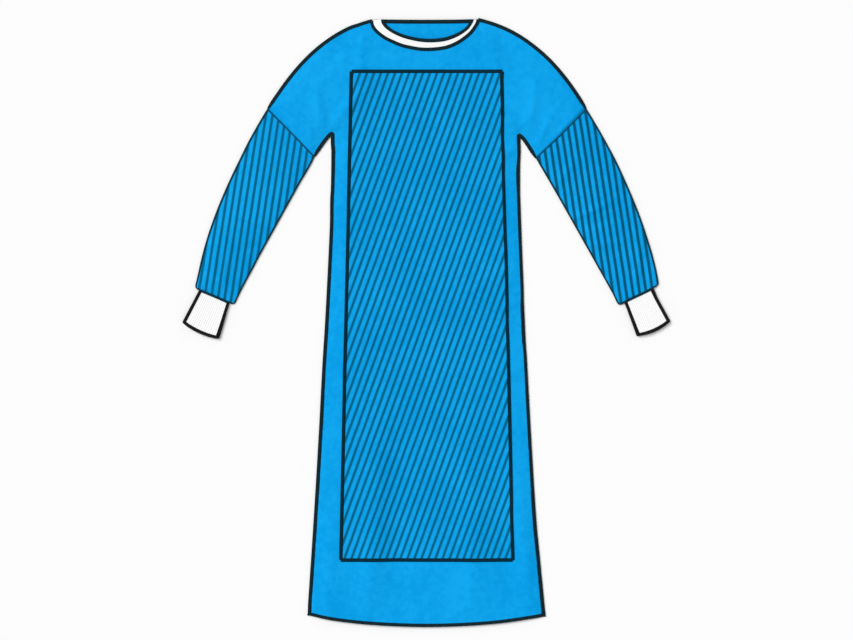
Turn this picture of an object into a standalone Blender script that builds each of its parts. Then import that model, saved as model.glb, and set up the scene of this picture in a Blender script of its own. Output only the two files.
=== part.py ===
# Surgical gown laid flat on a table with its front up: metres, +Y towards the neck, +Z up,
# origin on the table under the middle of the gown. Run it with
# blender --background --python part.py, or from Blender's text editor.
import math

import bmesh
import bpy
from mathutils import Vector
from mathutils.geometry import intersect_point_line

# Walls and the gaps between pieces, in metres
GAP = 0.0003                 # between pieces at a seam and between layers
CLOTH = 0.0010               # wall of the body panels
SLEEVE_CLOTH = 0.0012        # wall of the reinforced lower sleeve
KNIT = 0.0018                # wall of the rib-knit cuff, under its ribs
BINDING = 0.0016             # folded neck binding
TAPE = 0.0012                # back neck tape
PUFF = 0.0032                # air under the front, away from its sewn edges
PUFF_REACH = 0.050           # width over which the front rises from a sewn edge

# The body, laid flat: half widths, and heights from the middle of its length
HEM_CENTRE_Y = -0.6250       # hem at the centre front, its lowest point
HEM_SIDE_Y = -0.5985         # hem at the side seams
HEM_HALF = 0.2425
UNDERARM = (0.1940, 0.3890)  # top of the notch between sleeve and body
FLARE_POWER = 1.5            # how the side seam curves out from the underarm to the hem
NECK_POINT = (0.1100, 0.6250)
NECK_DROP = 0.0595           # front neck, below the neck points
BACK_NECK_DROP = 0.0020      # the back neck is all but straight
NECK_STEPS = 8               # points along half of the neck curve
BINDING_WIDTH = 0.0160
BINDING_STEPS = 3            # across the binding
TAPE_HALF_LENGTH = 0.1000
TAPE_LOW_Y = 0.6055
TAPE_HIGH_Y = 0.6205

# The reinforcement on the front, slightly wider at its foot
PANEL_TOP_Y = 0.5180
PANEL_BOTTOM_Y = -0.4880

# Lines that run the length of the body: half widths level with the panel's top and its foot
BODY_LINES = {
    "centre": {"top": 0.0000, "foot": 0.0000},
    "flap": {"top": 0.0970, "foot": 0.1070},      # free edge of a back panel, past the centre
    "step_top": {"top": 0.1010, "foot": 0.1110},  # the inner flap comes down from here
    "neck": {"top": 0.1130, "foot": 0.1230},      # and is on the table here
    "panel": {"top": 0.1555, "foot": 0.1770},
}

# The shoulder runs from the neck point to the seam across the upper arm. The lower sleeve's
# edges carry on from there. Each is a cubic curve, given by its four control points.
SHOULDER = (NECK_POINT, (0.1845, 0.6070), (0.2573, 0.5590), (0.3265, 0.4410))
UPPER_UNDERARM = (UNDERARM, (0.2030, 0.3870), (0.2150, 0.3630), (0.2290, 0.3420))
SLEEVE_OVER = (SHOULDER[3], (0.3946, 0.3320), (0.4621, 0.1883), (0.4742, 0.0752))
SLEEVE_UNDER = (UPPER_UNDERARM[3], (0.2852, 0.2407), (0.3414, 0.1393), (0.3976, 0.0381))
SHOULDER_SHARES = {"neck": 0.0, "panel": 0.20, "edge": 0.42}  # where body lines meet the shoulder

# Rows of each zone of the body, from the hem up, as shares of the zone's height
SKIRT_ROWS = 19
ZONES = {
    "hem": (0.0, 0.5),
    "skirt": tuple(row / SKIRT_ROWS for row in range(SKIRT_ROWS)),
    "armhole": (0.0, 0.25, 0.5, 0.75),
    "yoke": (0.0, 0.4, 0.8, 1.0),
}
SLEEVE_COLUMNS = 6           # across the grown-on upper sleeve
SEAM_STEPS = 30              # along a sewn edge, where the distance to it is measured

# Where the back lies over the tape: full height inside the first value, none past the second
TAPE_RISE_HALF = (0.110, 0.155)
TAPE_RISE_Y = (0.598, 0.560)

# Rings of the lower sleeve: share of its length, and how far each edge is drawn in
SLEEVE_RINGS = (
    {"along": 0.000, "drawn_in": 0.0000},
    {"along": 0.125, "drawn_in": 0.0000},
    {"along": 0.250, "drawn_in": 0.0000},
    {"along": 0.375, "drawn_in": 0.0000},
    {"along": 0.500, "drawn_in": 0.0000},
    {"along": 0.625, "drawn_in": 0.0000},
    {"along": 0.750, "drawn_in": 0.0000},
    {"along": 0.870, "drawn_in": 0.0000},
    {"along": 0.975, "drawn_in": 0.0000},
    {"along": 0.993, "drawn_in": 0.0030},
    {"along": 1.000, "drawn_in": 0.0110},
)
SLEEVE_EDGE_GAP = 0.0010     # air inside the folded edge of the sleeve
SLEEVE_HEIGHT = 2 * SLEEVE_CLOTH + GAP + PUFF
SLEEVE_FLAT_POINTS = 8       # along each flat side of a ring
FOLD_ANGLES = (-45, 0, 45)   # points round a folded edge, in degrees

# The cuff: how far it is set in from the sleeve's corners, and its wrist corners
CUFF_SET_IN = 0.0120
CUFF_WRIST_OVER = (0.5000, 0.0037)
CUFF_WRIST_UNDER = (0.4330, -0.0260)
CUFF_SAG = 0.0060            # how far the wrist edge bows out
CUFF_AIR = 0.0016            # between its two sides
CUFF_RIBS = 36
CUFF_RIB_HEIGHT = 0.0005
CUFF_ROWS = 4
CUFF_HEIGHT = 2 * (KNIT + CUFF_RIB_HEIGHT) + CUFF_AIR

BLUE = (0.000, 0.362, 0.823, 1.0)
HATCHED_BLUE = (0.004, 0.262, 0.552, 1.0)
WHITE = (0.890, 0.900, 0.900, 1.0)


def mix(a, b, share):
    """The value, or the point, that share of the way from a to b."""
    return a + (b - a) * share


def clamp(value):
    return min(1.0, max(0.0, value))


def curve_point(controls, share):
    """A point on a cubic curve."""
    a, b, c, d = (Vector(point) for point in controls)
    ab = mix(a, b, share)
    bc = mix(b, c, share)
    cd = mix(c, d, share)
    return mix(mix(ab, bc, share), mix(bc, cd, share), share)


def hem_y(x):
    """The hem is an arc of a circle, lowest at the centre."""
    sag = HEM_SIDE_Y - HEM_CENTRE_Y
    radius = (HEM_HALF**2 + sag**2) / (2 * sag)
    return HEM_CENTRE_Y + radius - math.sqrt(radius**2 - x**2)


def neck_y(x, drop):
    """The neck edge is half an ellipse that hangs between the neck points."""
    return NECK_POINT[1] - drop * math.sqrt(max(0.0, 1 - (x / NECK_POINT[0]) ** 2))


def edge_half(y):
    """Half width of the body: at the side seam, or above the underarm at the armhole line."""
    if y <= UNDERARM[1]:
        share = (UNDERARM[1] - y) / (UNDERARM[1] - HEM_SIDE_Y)
        return mix(UNDERARM[0], HEM_HALF, clamp(share) ** FLARE_POWER)
    top = curve_point(SHOULDER, SHOULDER_SHARES["edge"])
    return mix(UNDERARM[0], top.x, (y - UNDERARM[1]) / (top.y - UNDERARM[1]))


def line_half(line, y):
    """Half width of a named line of the body at height y."""
    if line == "edge":
        return edge_half(y)
    halves = BODY_LINES[line]
    return mix(halves["top"], halves["foot"], (PANEL_TOP_Y - y) / (PANEL_TOP_Y - PANEL_BOTTOM_Y))


def column_list(spans):
    """Columns of the body, from spans of (line, next line, steps, sign of the first line).
    From the centre to the neck line they close up like the angles of the neck curve."""
    columns = []
    for line, next_line, steps, sign in spans:
        for step in range(steps):
            share = step / steps
            if (line, next_line) == ("centre", "neck"):
                share = math.sin(share * math.pi / 2)
            columns.append((line, next_line, share, sign))
    line, next_line, _, sign = spans[-1]
    return columns + [(line, next_line, 1.0, sign)]


def row_list(*zones):
    return [(zone, share) for zone in zones for share in ZONES[zone]]


def top_point(column, neck_drop):
    """Where a column ends, on the neck edge or on the shoulder."""
    line, next_line, share, sign = column
    if next_line in ("panel", "edge"):
        along = mix(SHOULDER_SHARES[line], SHOULDER_SHARES[next_line], share)
        return curve_point(SHOULDER, along)
    start = min(line_half(line, NECK_POINT[1]), NECK_POINT[0])
    end = min(line_half(next_line, NECK_POINT[1]), NECK_POINT[0])
    x = mix(sign * start, end, share)
    return Vector((x, neck_y(x, neck_drop)))


def body_point(column, row, neck_drop):
    """Where a column crosses a row, in plan."""
    line, next_line, share, sign = column
    zone, up = row

    def across(y):
        return mix(sign * line_half(line, y), line_half(next_line, y), share)

    if zone == "hem":
        x = across(HEM_SIDE_Y)
        return mix(Vector((x, hem_y(x))), Vector((across(PANEL_BOTTOM_Y), PANEL_BOTTOM_Y)), up)
    if zone == "yoke":
        return mix(Vector((across(PANEL_TOP_Y), PANEL_TOP_Y)), top_point(column, neck_drop), up)
    low, high = (PANEL_BOTTOM_Y, UNDERARM[1]) if zone == "skirt" else (UNDERARM[1], PANEL_TOP_Y)
    y = mix(low, high, up)
    return Vector((across(y), y))


def upper_sleeve_point(start, out, up):
    """A point of the grown-on upper sleeve, blended between its four edges. It is out from
    the armhole line, where start is its row's own point, and up from the underarm."""
    armhole = SHOULDER_SHARES["edge"]
    under = curve_point(UPPER_UNDERARM, out)
    over = curve_point(SHOULDER, mix(armhole, 1.0, out))
    seam_end = mix(Vector(UPPER_UNDERARM[3]), Vector(SHOULDER[3]), up)
    corner_under = mix(Vector(UNDERARM), Vector(UPPER_UNDERARM[3]), out)
    corner_over = mix(curve_point(SHOULDER, armhole), Vector(SHOULDER[3]), out)
    return mix(start, seam_end, out) + mix(under, over, up) - mix(corner_under, corner_over, up)


def sewn_edges():
    """The seams that hold the front down on the back, as lines of points on the +X side."""
    shares = [step / SEAM_STEPS for step in range(SEAM_STEPS + 1)]
    heights = [mix(HEM_SIDE_Y, UNDERARM[1], share) for share in shares]
    return (
        [Vector((edge_half(y), y)) for y in heights],
        [curve_point(SHOULDER, share) for share in shares],
        [curve_point(UPPER_UNDERARM, share) for share in shares],
    )


SEWN_EDGES = sewn_edges()


def seam_distance(x, y):
    """How far a point of the front is from the nearest seam that holds it down."""
    point = Vector((abs(x), y))
    distances = []
    for seam in SEWN_EDGES:
        for start, end in zip(seam, seam[1:]):
            share = intersect_point_line(point, start, end)[1]
            distances.append((mix(start, end, clamp(share)) - point).length)
    return min(distances)


def soft_rise(distance):
    """0 at a seam, rising as a parabola to 1 where the cloth lies free."""
    share = clamp(distance / PUFF_REACH)
    return share * (2 - share)


def tape_rise(x, y):
    """The back neck lies over the tape, so that both are flat on the table."""
    full_half, no_half = TAPE_RISE_HALF
    full_y, no_y = TAPE_RISE_Y
    across = clamp((no_half - abs(x)) / (no_half - full_half))
    up = clamp((y - no_y) / (full_y - no_y))
    return (TAPE + GAP) * across * up


def inner_back_bottom(x, y):
    """The inner flap steps over the outer one. Here +X is the inner panel's own side."""
    top = line_half("step_top", y)
    foot = line_half("neck", y)
    step = clamp((foot - x) / (foot - top))
    return tape_rise(x, y) + (CLOTH + GAP) * step


def front_bottom(x, y):
    return CLOTH + GAP + tape_rise(x, y) + PUFF * soft_rise(seam_distance(x, y))


def material(name, colour, roughness):
    made = bpy.data.materials.new(name)
    made.use_nodes = True
    shader = made.node_tree.nodes["Principled BSDF"]
    shader.inputs["Base Color"].default_value = colour
    shader.inputs["Roughness"].default_value = roughness
    shader.inputs["Metallic"].default_value = 0.0
    return made


def new_object(name, bm, look):
    """Ends the making of a mesh: its object joins the gown's collection."""
    bmesh.ops.recalc_face_normals(bm, faces=bm.faces)
    mesh = bpy.data.meshes.new(name)
    bm.to_mesh(mesh)
    bm.free()
    mesh.materials.append(look)
    made = bpy.data.objects.new(name, mesh)
    bpy.data.collections["surgical_gown"].objects.link(made)
    return made


def add_grid(bm, place, columns, rows):
    """Adds a grid of points to bm. place(column, row) says where each goes."""
    grid = bmesh.ops.create_grid(bm, x_segments=columns - 1, y_segments=rows - 1, size=1.0)
    for vert in grid["verts"]:
        column = round((vert.co.x + 1) / 2 * (columns - 1))
        row = round((vert.co.y + 1) / 2 * (rows - 1))
        vert.co = place(column, row)


def mirror_half(half):
    mirror = half.modifiers.new("Other half", "MIRROR")
    mirror.merge_threshold = 0.0001


def thicken(sheet, thickness):
    shell = sheet.modifiers.new("Cloth thickness", "SOLIDIFY")
    shell.thickness = thickness
    shell.offset = 0.0


def body_sheet(name, spans, neck_drop, bottom, side, look):
    """A body panel with its grown-on upper sleeve, as a sheet through the middle of the cloth.
    side is 1 for a panel on the +X side, and -1 for one turned over to the other side."""
    columns = column_list(spans)
    rows = row_list("hem", "skirt", "armhole", "yoke")
    armhole_rows = row_list("armhole", "yoke")

    def lifted(point):
        return Vector((side * point.x, point.y, bottom(point.x, point.y) + CLOTH / 2))

    def place_body(column, row):
        return lifted(body_point(columns[column], rows[row], neck_drop))

    def place_sleeve(column, row):
        start = body_point(columns[-1], armhole_rows[row], neck_drop)
        out = column / SLEEVE_COLUMNS
        return lifted(upper_sleeve_point(start, out, row / (len(armhole_rows) - 1)))

    bm = bmesh.new()
    add_grid(bm, place_body, len(columns), len(rows))
    add_grid(bm, place_sleeve, SLEEVE_COLUMNS + 1, len(armhole_rows))
    bmesh.ops.remove_doubles(bm, verts=bm.verts, dist=0.00001)
    return new_object(name, bm, look)


def make_front(look):
    spans = (
        ("centre", "neck", NECK_STEPS, 1),
        ("neck", "panel", 1, 1),
        ("panel", "edge", 3, 1),
    )
    front = body_sheet("front", spans, NECK_DROP, front_bottom, 1, look)
    mirror_half(front)
    thicken(front, CLOTH)


def make_back(name, bottom, side, look):
    spans = (
        ("flap", "centre", 1, -1),
        ("centre", "flap", 1, 1),
        ("flap", "step_top", 1, 1),
        ("step_top", "neck", 1, 1),
        ("neck", "panel", 1, 1),
        ("panel", "edge", 3, 1),
    )
    thicken(body_sheet(name, spans, BACK_NECK_DROP, bottom, side, look), CLOTH)


def make_reinforcement(look):
    """The front's own points between the panel's four edges, moved out."""
    columns = column_list((("centre", "neck", NECK_STEPS, 1), ("neck", "panel", 1, 1)))
    rows = row_list("skirt", "armhole") + [("armhole", 1.0)]

    def place(column, row):
        x, y = body_point(columns[column], rows[row], NECK_DROP)
        return Vector((x, y, front_bottom(x, y) + CLOTH + GAP + CLOTH / 2))

    bm = bmesh.new()
    add_grid(bm, place, len(columns), len(rows))
    panel = new_object("front_reinforcement", bm, look)
    mirror_half(panel)
    thicken(panel, CLOTH)


def make_neck_binding(look):
    """The band along the front's neck edge, from one neck point to the other."""
    columns = 2 * NECK_STEPS + 1
    half = NECK_POINT[0]

    def place(column, row):
        angle = math.pi * (column / (columns - 1) - 0.5)
        edge = Vector((half * math.sin(angle), -NECK_DROP * math.cos(angle)))
        inward = -Vector((edge.x / half**2, edge.y / NECK_DROP**2)).normalized()
        point = edge + inward * mix(GAP, BINDING_WIDTH, row / BINDING_STEPS)
        x, y = point.x, point.y + NECK_POINT[1]
        return Vector((x, y, front_bottom(x, y) + BINDING / 2))

    bm = bmesh.new()
    add_grid(bm, place, columns, BINDING_STEPS + 1)
    thicken(new_object("neck_binding", bm, look), BINDING)


def make_neck_tape(look):
    """The tape along the back neck, on the outer face, which the gown lies on."""
    bm = bmesh.new()
    bmesh.ops.create_cube(bm, size=1.0)
    for vert in bm.verts:
        vert.co.x *= 2 * TAPE_HALF_LENGTH
        vert.co.y = mix(TAPE_LOW_Y, TAPE_HIGH_Y, vert.co.y + 0.5)
        vert.co.z = (vert.co.z + 0.5) * TAPE
    new_object("neck_tape", bm, look)


def folded_ring(under, over, bottom, top_at):
    """A ring of a flattened tube between two edge points. It runs along the underside, round
    one folded edge, back over the top and round the other. top_at(distance) is the height of
    the top at that distance from the nearer edge."""
    along = (over - under).normalized()
    width = (over - under).length
    radius = (top_at(0.0) - bottom) / 2
    reaches = [
        mix(radius, width - radius, n / (SLEEVE_FLAT_POINTS - 1)) for n in range(SLEEVE_FLAT_POINTS)
    ]

    def point(reach, z):
        return Vector((*(under + along * reach), z))

    ring = [point(reach, bottom) for reach in reaches]
    for angle in map(math.radians, FOLD_ANGLES):
        reach = width - radius + radius * math.cos(angle)
        ring.append(point(reach, bottom + radius + radius * math.sin(angle)))
    for reach in reversed(reaches):
        ring.append(point(reach, top_at(min(reach, width - reach) - radius)))
    for angle in map(math.radians, reversed(FOLD_ANGLES)):
        reach = radius - radius * math.cos(angle)
        ring.append(point(reach, bottom + radius + radius * math.sin(angle)))
    return ring


def walled_tube(name, outer_rings, inner_rings, side, look):
    """A tube with a wall, lofted through its outer rings and its inner rings. side is -1 for
    the one on the -X side."""
    bm = bmesh.new()

    def add_rings(rings):
        return [[bm.verts.new((side * x, y, z)) for x, y, z in ring] for ring in rings]

    def join(first, second):
        for n in range(len(first)):
            bm.faces.new((first[n - 1], first[n], second[n], second[n - 1]))

    outer = add_rings(outer_rings)
    inner = add_rings(inner_rings)
    for wall in (outer, inner):
        for first, second in zip(wall, wall[1:]):
            join(first, second)
    join(inner[0], outer[0])
    join(inner[-1], outer[-1])
    new_object(name, bm, look)


def sleeve_rings(inset):
    """Rings of the lower sleeve on the +X side, drawn in by inset for its inside."""
    rings = []
    for row in SLEEVE_RINGS:
        over = curve_point(SLEEVE_OVER, row["along"])
        under = curve_point(SLEEVE_UNDER, row["along"])
        across = (over - under).normalized()
        over -= across * (row["drawn_in"] + inset)
        under += across * (row["drawn_in"] + inset)
        if row["along"] == 0.0:
            clear = Vector((across.y, -across.x)) * GAP
            over += clear
            under += clear

        def top_at(distance):
            edge_height = 2 * SLEEVE_CLOTH + SLEEVE_EDGE_GAP
            return mix(edge_height, SLEEVE_HEIGHT, soft_rise(distance)) - inset

        rings.append(folded_ring(under, over, inset, top_at))
    return rings


def make_sleeve(name, side, look):
    walled_tube(name, sleeve_rings(0.0), sleeve_rings(SLEEVE_CLOTH), side, look)


def cuff_ring(under, over, sag, inset, rib_height):
    """A ring of the cuff, spaced evenly round it. Every second point is the crest of a rib."""
    along = (over - under).normalized()
    to_wrist = Vector((along.y, -along.x))
    width = (over - under).length
    radius = CUFF_HEIGHT / 2
    straight = width - CUFF_HEIGHT
    turn = math.pi * radius
    ring = []
    for n in range(2 * CUFF_RIBS):
        travel = n / CUFF_RIBS * (straight + turn)
        back = travel - straight - turn
        reach = radius + min(travel, straight) if back < 0 else radius + max(straight - back, 0.0)
        angle = clamp((travel - straight) / turn) + clamp((back - straight) / turn)
        stand = radius - inset + rib_height * (n % 2)
        reach += math.sin(angle * math.pi) * stand
        bow = sag * (1 - (2 * reach / width - 1) ** 2)
        x, y = under + along * reach + to_wrist * bow
        ring.append(Vector((x, y, radius - math.cos(angle * math.pi) * stand)))
    return ring


def cuff_rings(inset, rib_height):
    """Rings of the cuff on the +X side, from the end of the sleeve to the wrist."""
    sleeve_over = Vector(SLEEVE_OVER[3])
    sleeve_under = Vector(SLEEVE_UNDER[3])
    across = (sleeve_over - sleeve_under).normalized()
    clear = Vector((across.y, -across.x)) * GAP
    top_over = sleeve_over - across * CUFF_SET_IN + clear
    top_under = sleeve_under + across * CUFF_SET_IN + clear
    rings = []
    for row in range(CUFF_ROWS + 1):
        share = row / CUFF_ROWS
        over = mix(top_over, Vector(CUFF_WRIST_OVER), share)
        under = mix(top_under, Vector(CUFF_WRIST_UNDER), share)
        rings.append(cuff_ring(under, over, CUFF_SAG * share**2, inset, rib_height))
    return rings


def make_cuff(name, side, look):
    outer = cuff_rings(CUFF_RIB_HEIGHT, CUFF_RIB_HEIGHT)
    walled_tube(name, outer, cuff_rings(CUFF_RIB_HEIGHT + KNIT, 0.0), side, look)


def main():
    for old in list(bpy.data.objects):
        bpy.data.objects.remove(old)
    gown = bpy.data.collections.new("surgical_gown")
    bpy.context.scene.collection.children.link(gown)
    body_cloth = material("body_cloth", BLUE, 0.75)
    hatched_cloth = material("reinforced_cloth", HATCHED_BLUE, 0.65)
    knit = material("cuff_knit", WHITE, 0.90)
    white_cloth = material("binding_cloth", WHITE, 0.80)
    make_front(body_cloth)
    make_back("back_outer", tape_rise, 1, body_cloth)
    make_back("back_inner", inner_back_bottom, -1, body_cloth)
    make_reinforcement(hatched_cloth)
    make_neck_binding(white_cloth)
    make_neck_tape(white_cloth)
    for name, side in (("right", 1), ("left", -1)):
        make_sleeve(f"sleeve_{name}", side, hatched_cloth)
        make_cuff(f"cuff_{name}", side, knit)


main()
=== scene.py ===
import math
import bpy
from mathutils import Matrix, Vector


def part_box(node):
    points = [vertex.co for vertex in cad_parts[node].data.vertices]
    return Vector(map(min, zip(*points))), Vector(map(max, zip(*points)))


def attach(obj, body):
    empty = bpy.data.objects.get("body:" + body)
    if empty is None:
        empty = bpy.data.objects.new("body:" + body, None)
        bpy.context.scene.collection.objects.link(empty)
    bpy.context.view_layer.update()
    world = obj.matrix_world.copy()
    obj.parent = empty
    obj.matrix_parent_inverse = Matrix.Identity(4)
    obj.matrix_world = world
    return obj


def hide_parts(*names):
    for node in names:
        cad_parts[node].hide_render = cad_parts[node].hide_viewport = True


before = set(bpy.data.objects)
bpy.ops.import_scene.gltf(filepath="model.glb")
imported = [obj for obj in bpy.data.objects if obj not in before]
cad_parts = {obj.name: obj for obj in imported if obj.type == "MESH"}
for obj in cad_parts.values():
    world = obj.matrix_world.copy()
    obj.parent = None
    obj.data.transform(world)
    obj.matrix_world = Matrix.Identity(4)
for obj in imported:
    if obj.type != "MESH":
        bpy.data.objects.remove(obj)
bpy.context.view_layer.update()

from types import SimpleNamespace

import bmesh
import bpy
from mathutils import Matrix, Vector, kdtree, noise

# A surgical gown laid flat with its front up, in metres: +Y towards the neck, +Z up.

mm = 0.001

# The cut as it lies: half widths, and heights from the middle of the gown's length
frontLow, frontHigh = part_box("front")
panelLow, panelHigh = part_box("front_reinforcement")
tapeLow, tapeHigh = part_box("neck_tape")
cut = {
    "hemCentre": frontLow.y,
    "hemSide": -0.5985,
    "hemHalf": 0.2425,
    "flare": 1.5,             # how the side seam curves out to the hem
    "underarm": (0.1940, 0.3890),
    "neckHalf": 0.1100,
    "neckTop": frontHigh.y,
    "frontNeckDrop": 0.0595,
    "backNeckDrop": 0.0020,
    "armhole": 0.42,          # share of the shoulder seam where the upper sleeve begins
    "panelTop": panelHigh.y,
    "panelFoot": panelLow.y,
    "panelTopHalf": 0.1555,
    "panelFootHalf": panelHigh.x,
}
bodyLines = {                 # x level with the panel's top, and with its foot
    "centre": (0.0, 0.0),
    "flap": (-0.0970, -0.1070),
    "neck": (0.1130, 0.1230),
}
shoulderCurve = ((cut["neckHalf"], cut["neckTop"]), (0.1845, 0.6070), (0.2573, 0.5590), (0.3265, 0.4410))
upperUnderCurve = (cut["underarm"], (0.2030, 0.3870), (0.2150, 0.3630), (0.2290, 0.3420))
sleeveOverCurve = (shoulderCurve[3], (0.3946, 0.3320), (0.4621, 0.1883), (0.4742, 0.0752))
sleeveUnderCurve = (upperUnderCurve[3], (0.2852, 0.2407), (0.3414, 0.1393), (0.3976, 0.0381))

# How the layers lie on each other
lay = {
    "layer": 1.0 * mm,        # room for one layer of cloth
    "gap": 0.3 * mm,
    "cloth": 0.7 * mm,        # what a layer is thick here
    "puff": 3.2 * mm,         # air under the front, away from its seams
    "reach": 50 * mm,         # it rises over this width from a seam
    "tape": 1.5 * mm,         # the back neck lies over the tape
    "flapPast": 4 * mm,       # the inner back is level again this far past the outer one's edge
    "creases": 2.2,           # how strongly the creases below show
    "loose": 12 * mm,         # they begin over this width from a seam
    "sewn": 3 * mm,           # and the puckers over this
    "waves": 0.7 * mm,        # wide unevenness
    "waveScale": (9, 6),
    "waveReach": 30 * mm,
    "puckers": 0.8 * mm,      # small ones along the seams
    "puckerScale": 95,
    "puckerReach": 9 * mm,
}
tapeHump = {                  # where the cloth over the back neck's tape rises
    "half": 0.155,
    "sideSlope": 0.045,
    "foot": 0.560,
    "slope": 0.038,
}


def mix(a, b, share):
    return a + (b - a) * share


def clamp(value):
    return min(1.0, max(0.0, value))


def spread(start, end, steps):
    # Values evenly apart, both ends with them
    return [mix(start, end, step / steps) for step in range(steps + 1)]


def curvePoint(controls, share):
    a, b, c, d = (Vector(point) for point in controls)
    ab = mix(a, b, share)
    bc = mix(b, c, share)
    cd = mix(c, d, share)
    return mix(mix(ab, bc, share), mix(bc, cd, share), share)


# Outline and heights

def hemY(x):
    sag = cut["hemSide"] - cut["hemCentre"]
    radius = (cut["hemHalf"] ** 2 + sag ** 2) / (2 * sag)
    return cut["hemCentre"] + radius - math.sqrt(radius ** 2 - x ** 2)


def neckY(x, drop):
    return cut["neckTop"] - drop * math.sqrt(max(0.0, 1 - (x / cut["neckHalf"]) ** 2))


def edgeHalf(y):
    under = cut["underarm"]
    if y <= under[1]:
        share = clamp((under[1] - y) / (under[1] - cut["hemSide"]))
        return mix(under[0], cut["hemHalf"], share ** cut["flare"])
    top = curvePoint(shoulderCurve, cut["armhole"])
    return mix(under[0], top.x, (y - under[1]) / (top.y - under[1]))


def lineX(line, y):
    if line == "edge":
        return edgeHalf(y)
    top, foot = bodyLines[line]
    return mix(top, foot, (cut["panelTop"] - y) / (cut["panelTop"] - cut["panelFoot"]))


def panelHalf(y):
    down = (cut["panelTop"] - y) / (cut["panelTop"] - cut["panelFoot"])
    return mix(cut["panelTopHalf"], cut["panelFootHalf"], down)


def sampleCurve(controls, steps):
    return [curvePoint(controls, share) for share in spread(0.0, 1.0, steps)]


def sidePoints(steps=400):
    return [Vector((edgeHalf(y), y)) for y in spread(cut["hemSide"], cut["underarm"][1], steps)]


def nearestTree(lines):
    points = [point for line in lines for point in line]
    tree = kdtree.KDTree(len(points))
    for index, point in enumerate(points):
        tree.insert((point.x, point.y, 0.0), index)
    tree.balance()
    return tree


bodySeams = nearestTree(
    (sidePoints(1200), sampleCurve(shoulderCurve, 400), sampleCurve(upperUnderCurve, 80)))


def inMetres(value):
    return tuple(part * mm for part in value) if isinstance(value, tuple) else value * mm


def tableRows(columns, *rows):
    # The rows are written in mm
    return [dict(zip(columns, map(inMetres, row))) for row in rows]


# How the gown has settled off its even cut: a pull is full along its own line, changes from its
# first move to its last, and fades over its reach
pulls = tableRows(
    ("from", "to", "first", "last", "reach"),
    ((200, 385), (229, 342), (-4.8, -2.6), (-4.6, -2.2), 40),
    ((205, 300), (222, 0), (-7.7, 0.0), (-7.6, 0.0), 36),
    ((222, 0), (234, -400), (-7.6, 0.0), (-7.1, 0.0), 36),
    ((234, -400), (241, -580), (-7.1, 0.0), (-2.2, -2.4), 36),
    ((100, -620), (235, -600), (0.0, -0.6), (-2.2, -2.8), 40),
    ((-212, 200), (-225, -100), (1.2, 0.0), (-2.2, 0.0), 38),
    ((-225, -100), (-241, -580), (-2.3, 0.0), (-1.1, -2.4), 38),
    ((-100, -620), (-235, -600), (0.0, -0.6), (-1.1, -2.8), 40),
    ((245, 310), (392, 55), (-3.6, -0.6), (-2.0, 0.0), 34),
    ((-225, 345), (-392, 55), (-1.6, 0.6), (-2.3, 0.4), 38),
    ((-80, 612), (80, 612), (-5.2, 0.0), (-5.2, 0.0), 60),
    ((-430, 50), (-466, -10), (-1.1, -2.6), (-1.1, -2.6), 45),
)
# Smaller ones on top of them
nudges = tableRows(
    ("from", "to", "first", "last", "reach"),
    ((90, 584), (106, 604), (-2.6, 1.0), (-3.4, 0.8), 17),
    ((-2, 566), (40, 569), (0.0, -1.8), (0.0, -2.4), 22),
    ((-92, 592), (-70, 578), (1.3, 1.2), (1.3, 1.4), 17),
    ((270, 540), (380, 350), (0.7, 0.8), (1.4, 1.0), 40),
    ((400, 310), (466, 160), (0.9, 0.5), (0.8, 0.0), 30),
    ((466, 160), (474, 78), (0.6, 0.0), (3.2, 2.4), 16),
    ((394, 44), (398, 36), (-0.4, -2.6), (-0.6, -3.6), 12),
    ((-330, 430), (-365, 380), (-1.4, 1.0), (-1.2, 0.6), 36),
    ((-200, 388), (-225, 350), (-0.6, 1.2), (-1.2, 1.2), 18),
    ((-260, 285), (-340, 142), (-1.0, 0.6), (-0.9, 0.4), 26),
    ((409, 44), (412, 34), (1.3, 0.5), (0.9, 0.4), 10),
    ((-472, 84), (-474, 72), (-1.4, -3.2), (-2.0, -4.0), 24),
    ((-466, 66), (-500, 4), (-2.6, 1.6), (-2.1, -0.8), 22),
    ((-408, 43), (-433, -26), (1.9, -0.7), (4.2, -4.0), 24),
    ((-60, -640), (60, -640), (0.0, 1.4), (0.0, 1.4), 80),
    ((232, -604), (246, -600), (0.4, -1.0), (0.8, -1.2), 16),
    ((-232, -604), (-246, -600), (0.4, 1.0), (0.9, 1.2), 16),
    ((-112, 626), (-138, 618), (0.4, -2.2), (0.4, -1.8), 13),
    ((-191, 352), (-196, 275), (2.2, 0.0), (1.1, 0.0), 12),
    ((158, 500), (163, 180), (-2.1, 0.0), (-0.8, 0.0), 18),
)

for pull in pulls + nudges:
    start, end = Vector(pull["from"]), Vector(pull["to"])
    pull["middle"] = (start + end) / 2
    pull["span"] = (start - end).length / 2 + 3 * pull["reach"]


def pullsAt(rows, x, y):
    # (sum of the weights, and of the moves) of these pulls here
    weights = moveX = moveY = 0.0
    for pull in rows:
        if abs(x - pull["middle"].x) > pull["span"] or abs(y - pull["middle"].y) > pull["span"]:
            continue
        sx, sy = pull["from"]
        dx, dy = pull["to"][0] - sx, pull["to"][1] - sy
        along = clamp(((x - sx) * dx + (y - sy) * dy) / (dx * dx + dy * dy))
        away = math.hypot(x - sx - along * dx, y - sy - along * dy) / pull["reach"]
        weight = math.exp(-away * away)
        weights += weight
        moveX += weight * mix(pull["first"][0], pull["last"][0], along)
        moveY += weight * mix(pull["first"][1], pull["last"][1], along)
    return weights, moveX, moveY


def settle(x, y):
    weights, moveX, moveY = pullsAt(pulls, x, y)
    _, smallX, smallY = pullsAt(nudges, x, y)
    scale = 1 / max(1.0, weights)
    return Vector((moveX * scale + smallX, moveY * scale + smallY, 0.0))


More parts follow.
